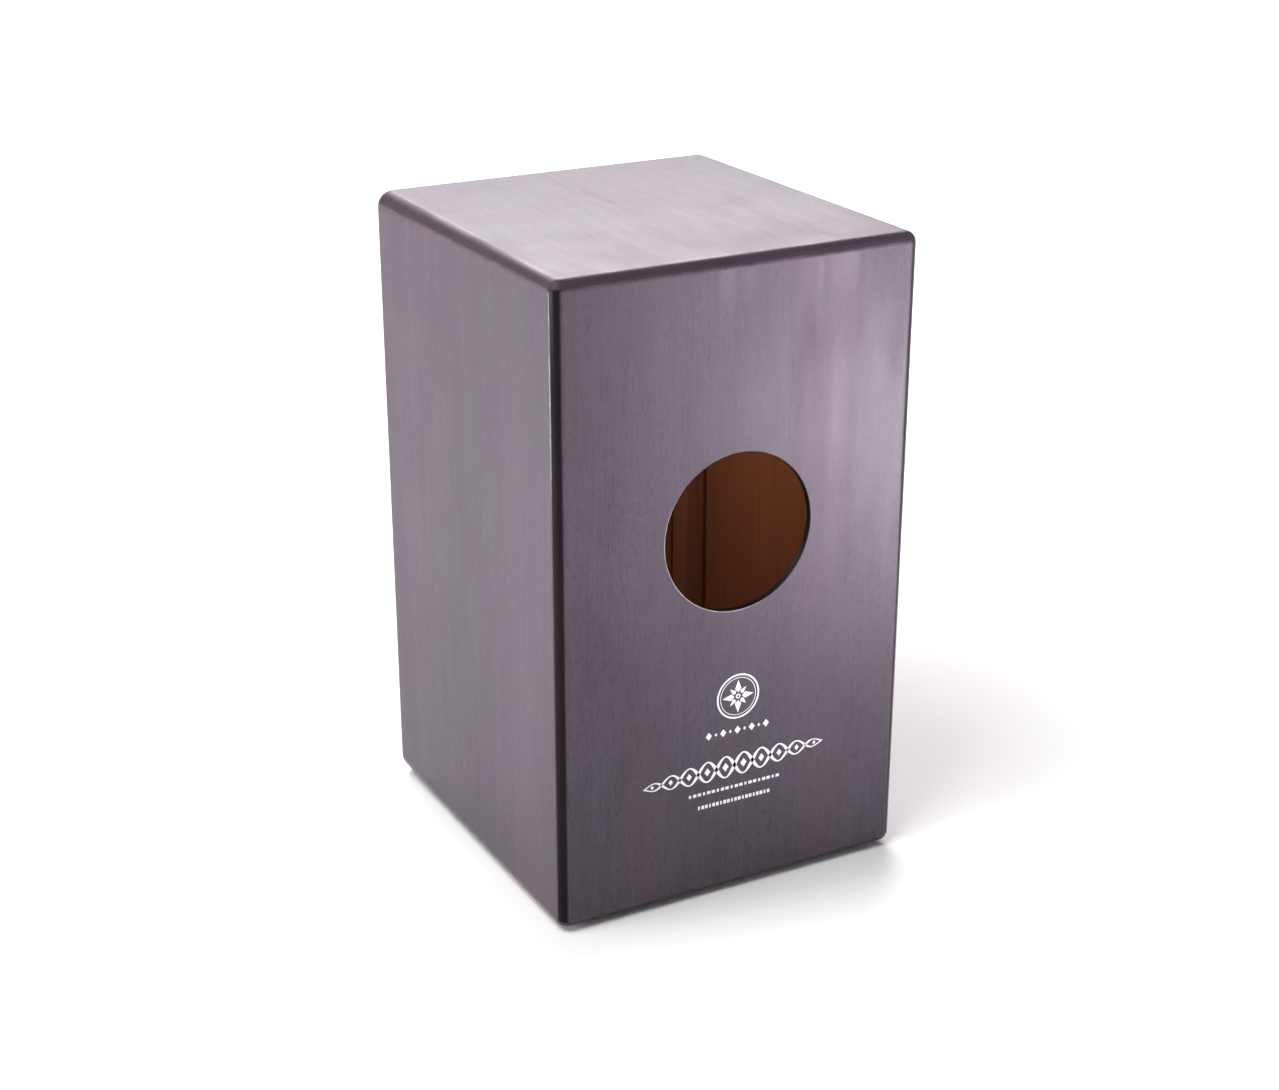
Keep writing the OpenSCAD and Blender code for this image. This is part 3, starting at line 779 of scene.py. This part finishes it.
def foot(name):
    """Turned rubber foot with a ribbed sole and side."""
    node = "foot_" + name
    low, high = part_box(node)
    centre = (low + high) / 2
    r = high.x - centre.x
    h = high.z - low.z
    bore_r, well_r = 2.25 * MM, 5.5 * MM
    seat_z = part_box("foot_washers")[0].z
    profile = [(bore_r, seat_z), (well_r - 0.05 * MM, seat_z), (well_r, seat_z - 0.1 * MM),
               (well_r, 0.35 * MM), (well_r + 0.3 * MM, 0)]
    for groove in (7.6 * MM, 9.6 * MM):
        profile += [(groove - 0.5 * MM, 0), (groove - 0.3 * MM, 0.5 * MM),
                    (groove + 0.3 * MM, 0.5 * MM), (groove + 0.5 * MM, 0)]
    # Inset from the outer radius against height, up the side
    for inset, z in ((1.5, 0), (0.9, 0.15), (0.45, 0.6), (0.35, 1.3), (0.35, 1.5),
                     (0.65, 1.65), (0.65, 2.0), (0.25, 2.15), (0, 2.9)):
        profile.append((r - inset * MM, z * MM))
    profile += [(r, h - 0.4 * MM), (r - 0.4 * MM, h), (bore_r, h), (bore_r, seat_z)]
    mesh = mesh_of(node, *turned(profile, 64, (centre.x, centre.y, 0)))
    edited(mesh, lambda body: bmesh.ops.remove_doubles(body, verts=body.verts, dist=1e-7))
    add_piece(node + "_ribbed", mesh, "root", "foot_rubber", node)


def thickened(mesh, depth, front):
    """A closed thin solid from flat shapes, with its face at y = front."""
    def edit(body):
        bmesh.ops.reverse_faces(body, faces=[face for face in body.faces if face.normal.y < 0])
        bmesh.ops.solidify(body, geom=body.faces[:], thickness=depth)
        bmesh.ops.recalc_face_normals(body, faces=body.faces)
        shift = front - max(vert.co.y for vert in body.verts)
        bmesh.ops.translate(body, verts=body.verts, vec=(0, shift, 0))
    return edited(mesh, edit)


def ornament():
    """Generic silver print under the sound hole: a round star, diamonds, a braid and two dashed rows.
    Its shapes are drawn in millimetres from the hole's centre, seen from behind."""
    parts = []
    y = Y_BACK + 0.04 * MM

    def placed(x, z):
        return (-x * MM, y, HOLE_AT.z + z * MM)

    def flat(points):
        parts.append(([placed(x, z) for x, z in points], [tuple(range(len(points)))[::-1]]))

    def diamond(x, z, size, stretch):
        flat([(x - size, z), (x, z - size * stretch), (x + size, z), (x, z + size * stretch)])

    def ribbon(line, width):
        """A strip of varying width along a line of (x, z); width is a function of 0..1."""
        verts = []
        for k, (x, z) in enumerate(line):
            before, after = line[max(k - 1, 0)], line[min(k + 1, len(line) - 1)]
            dx, dz = after[0] - before[0], after[1] - before[1]
            length = math.hypot(dx, dz)
            nx, nz = -dz / length, dx / length
            w = width(k / (len(line) - 1)) / 2
            for sign in (1, -1):
                verts.append(placed(x + sign * nx * w, z + sign * nz * w))
        parts.append((verts, [(2 * k, 2 * k + 1, 2 * k + 3, 2 * k + 2) for k in range(len(line) - 1)]))

    def ring(cx, cz, radius, width):
        angles = [2 * math.pi * k / 64 for k in range(65)]
        ribbon([(cx + radius * math.cos(a), cz + radius * math.sin(a)) for a in angles], lambda t: width)

    # Round star: a double ring round eight slim leaves
    cx, cz = 2.0, -127.0
    ring(cx, cz, 17.0, 1.3)
    ring(cx, cz, 14.6, 0.5)
    for k in range(8):
        angle = math.pi / 4 * k
        reach, half = ((13.0, 2.6), (9.5, 1.8))[k % 2]
        c, sn = math.cos(angle), math.sin(angle)
        leaf = [(3.2, 0), (reach * 0.45, half), (reach, 0), (reach * 0.45, -half)]
        flat([(cx + u * c - v * sn, cz + u * sn + v * c) for u, v in leaf])
    ring(cx, cz, 1.4, 1.0)
    # Row of diamonds, large and small by turns
    for k in range(9):
        diamond((k - 4) * 6.0 + cx, -154, (2.6, 1.2)[k % 2], 1.2)
    # Braid of two waves, wider in the middle, on a gently rising line
    braid_half, braid_z, braid_rise, waves = 76, -182, 4.5, 5

    def braid_line(t):
        return -braid_half + 2 * braid_half * t, braid_z + braid_rise * (t - 0.5)

    def strand_width(t):
        return 0.5 + 2.3 * math.sin(math.pi * t) ** 0.5 * (0.65 + 0.35 * math.cos(4 * math.pi * waves * t))

    for phase in (0, math.pi):
        line = []
        for k in range(241):
            t = k / 240
            x, z = braid_line(t)
            swell = math.sin(math.pi * t) ** 0.6
            line.append((x, z + 8.5 * swell * math.sin(2 * math.pi * waves * t + phase)))
        ribbon(line, strand_width)
    for k in range(2 * waves):
        t = (k + 0.5) / (2 * waves)
        diamond(*braid_line(t), 1.1 + 1.6 * math.sin(math.pi * t), 1.3)
    # Dashed rows
    for z, half, pitch, height in ((-199.5, 39, 3.9, 2.4), (-210.5, 31, 3.1, 2.9)):
        low, high = z - height / 2, z + height / 2
        for k in range(int(2 * half / pitch)):
            x = -half + pitch * (k + 0.5)
            w = pitch * (0.36 if k % 3 else 0.22)
            flat([(x - w, low), (x + w, low), (x + w, high), (x - w, high)])
    mesh = thickened(joined("back_ornament", parts), 0.05 * MM, y)
    add_piece("back_ornament", mesh, "root", "stained_wood", material=SILVER_INK)


def fillet(a, b, u, v, size):
    """Concave triangular strip of uneven size from a to b, against the planes along u and v."""
    a, b, u, v = Vector(a), Vector(b), Vector(u), Vector(v)
    steps = max(2, int((b - a).length / (12 * MM)))
    verts, faces = [], []
    for k in range(steps + 1):
        p = a.lerp(b, k / steps)
        size_here = size * (1 + 0.22 * math.sin(3.1 * k + size * 9e3))
        verts += [tuple(p + (u + v) * 0.02 * MM), tuple(p + u * size_here),
                  tuple(p + (u + v) * size_here * 0.32), tuple(p + v * size_here)]
    for k in range(steps):
        i = 4 * k
        for m, n in ((0, 1), (1, 2), (2, 3), (3, 0)):
            faces.append((i + m, i + n, i + 4 + n, i + 4 + m))
    faces += [(3, 2, 1, 0), tuple(len(verts) - 4 + n for n in range(4))]
    return verts, faces


def glue_and_corner_shade_lines():
    """Thin fillets of dried glue and stain along the joints in the chamber, dark partly as painted shade in
    the corners.
    """
    parts = []
    front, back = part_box("batten_left")[1].y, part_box("rear_strip_left")[0].y
    batten_low, batten_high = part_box("batten_bottom")[1].z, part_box("batten_top")[0].z
    lower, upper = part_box("lower_bridge"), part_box("upper_bridge")
    for side, sign in (("left", -1), ("right", 1)):
        wall = sign * X_IN
        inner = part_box("batten_" + side)[1 if side == "left" else 0].x
        inward = (-sign, 0, 0)
        parts.append(fillet((wall, front, Z_IN_LOW), (wall, front, Z_IN_HIGH), inward, (0, 1, 0), 2.2 * MM))
        parts.append(fillet((wall, back, Z_IN_LOW), (wall, back, Z_IN_HIGH), inward, (0, -1, 0), 1.6 * MM))
        for z0, z1 in ((batten_low, lower[0].z), (lower[1].z, upper[0].z), (upper[1].z, batten_high)):
            parts.append(fillet((inner, Y_SKIN, z0), (inner, Y_SKIN, z1), inward, (0, 1, 0), 1.4 * MM))
    for z, up in ((Z_IN_LOW, 1), (Z_IN_HIGH, -1)):
        for sign in (-1, 1):
            a, b = (sign * X_IN, front + 2.5 * MM, z), (sign * X_IN, back - 2.5 * MM, z)
            parts.append(fillet(a, b, (-sign, 0, 0), (0, 0, up), 1.8 * MM))
    mesh = joined("glue_and_corner_shade_lines", parts)
    edited(mesh, lambda body: bmesh.ops.recalc_face_normals(body, faces=body.faces))
    add_piece("glue_and_corner_shade_lines", mesh, "root", "inner_wood", material=GLUE_AND_CORNER_SHADE)


# ---- light, floor and camera ----

def area_light(name, at, towards, size, power, spread=180, tint=(1, 1, 1)):
    """A rectangular softbox; a narrow spread in degrees keeps its beam on one region."""
    data = bpy.data.lights.new(name, "AREA")
    data.shape = "RECTANGLE"
    data.size, data.size_y = size
    data.energy = power
    data.color = tint
    data.spread = math.radians(spread)
    light = bpy.data.objects.new(name, data)
    bpy.context.scene.collection.objects.link(light)
    light.location = at
    light.rotation_mode = "QUATERNION"
    light.rotation_quaternion = (Vector(towards) - Vector(at)).to_track_quat("-Z", "Y")
    light.visible_camera = False


def make_floor():
    """A wide flat floor at the feet's level."""
    half = 40.0
    corners = [(-half, -half, 0), (half, -half, 0), (half, half, 0), (-half, half, 0)]
    mesh = mesh_of("floor", corners, [(0, 1, 2, 3)])
    mesh.materials.append(pale_floor())
    floor = bpy.data.objects.new("floor", mesh)
    bpy.context.scene.collection.objects.link(floor)


def make_world():
    """Pale surroundings that are bright at the horizon and dim overhead; the softboxes do the lighting."""
    world = bpy.data.worlds.new("studio")
    world.use_nodes = True
    tree = world.node_tree
    background = tree.nodes["Background"]
    background.inputs["Color"].default_value = (1, 1, 1, 1)
    coords = tree.nodes.new("ShaderNodeTexCoord")
    split = tree.nodes.new("ShaderNodeSeparateXYZ")
    ramp = tree.nodes.new("ShaderNodeMapRange")
    ramp.interpolation_type = "SMOOTHSTEP"
    tree.links.new(coords.outputs["Generated"], split.inputs[0])
    tree.links.new(split.outputs[2], ramp.inputs["Value"])
    for key, value in (("From Min", 0.0), ("From Max", 0.35), ("To Min", 1.0), ("To Max", 0.12)):
        ramp.inputs[key].default_value = value
    tree.links.new(ramp.outputs[0], background.inputs["Strength"])
    bpy.context.scene.world = world


def make_lights():
    """Large soft lights for the shapes, narrow ones for sheens on the walls and a small one in the chamber."""
    area_light("overhead", (0.9, 0.3, 2.0), (0, 0, 0), (1.2, 1.2), 38)
    area_light("side_near", (1.3, 0.1, 0.35), (0.14, 0, 0.24), (0.8, 0.5), 10.8, tint=(1.0, 0.93, 0.965))
    area_light("side_low", (0.95, -0.33, 0.12), (0.14, 0.12, 0.38), (0.08, 0.22), 0.07, 30, BLUISH)
    area_light("far_sheen", (-0.7, -1.8, 1.7), (0, 0, 0.48), (1.8, 0.8), 69, tint=(1.0, 0.94, 0.98))
    area_light("back_glow", (-0.73, 1.03, 0.17), (-0.18, 0.15, 0.40), (0.28, 0.3), 0.67, 35, VIOLET)
    area_light("back_low", (-0.50, 0.60, 0.06), (-0.12, 0.15, 0.22), (0.25, 0.1), 0.22, 50, VIOLET)
    area_light("inside", (0.09, 0.02, 0.34), (-0.06, -0.12, 0.22), (0.08, 0.08), 0.37)


def make_camera():
    """The photograph's view: from behind, to the right of the back's normal, and above."""
    data = bpy.data.cameras.new("camera")
    data.sensor_width = 36.0
    data.lens = 63.8
    data.shift_x = 0.0032
    data.shift_y = 0.0444
    camera = bpy.data.objects.new("camera", data)
    bpy.context.scene.collection.objects.link(camera)
    azimuth = math.radians(28.29)
    elevation = math.radians(23.18)
    back = Vector((math.sin(azimuth) * math.cos(elevation), math.cos(azimuth) * math.cos(elevation),
                   math.sin(elevation)))
    camera.location = (0.7618, 1.4140, 0.8611 + BODY_LOW)
    camera.rotation_mode = "QUATERNION"
    camera.rotation_quaternion = (-back).to_track_quat("-Z", "Y")
    bpy.context.scene.camera = camera


# ---- build ----

make_camera()
make_world()
make_lights()
make_floor()
dress_nodes()
for panel in ("side_panel_left", "side_panel_right", "seat_panel", "base_panel", "back_panel", "tapa"):
    smooth_body(panel)

for lr in ("left", "right"):
    tuner_screw(lr)
    snare_strings(lr)
    softened("carrier_" + lr, "carrier_" + lr, "carrier_steel", 0.5 * MM)
    softened("tuner_bracket_" + lr, "root", "zinc_plate", 0.4 * MM)
    softened("key_bush_" + lr, "root", "brass", 0.25 * MM)
    softened("batten_" + lr, "root", "inner_wood", 0.7 * MM)
softened("anchor_plate", "root", "zinc_plate", 0.35 * MM)
for tapa_edge in ("top", "left", "right", "bottom"):
    tapa_screws(tapa_edge)
for corner in ("front_left", "front_right", "back_left", "back_right"):
    foot(corner)
ornament()
glue_and_corner_shade_lines()

bpy.context.scene.view_settings.view_transform = "Standard"
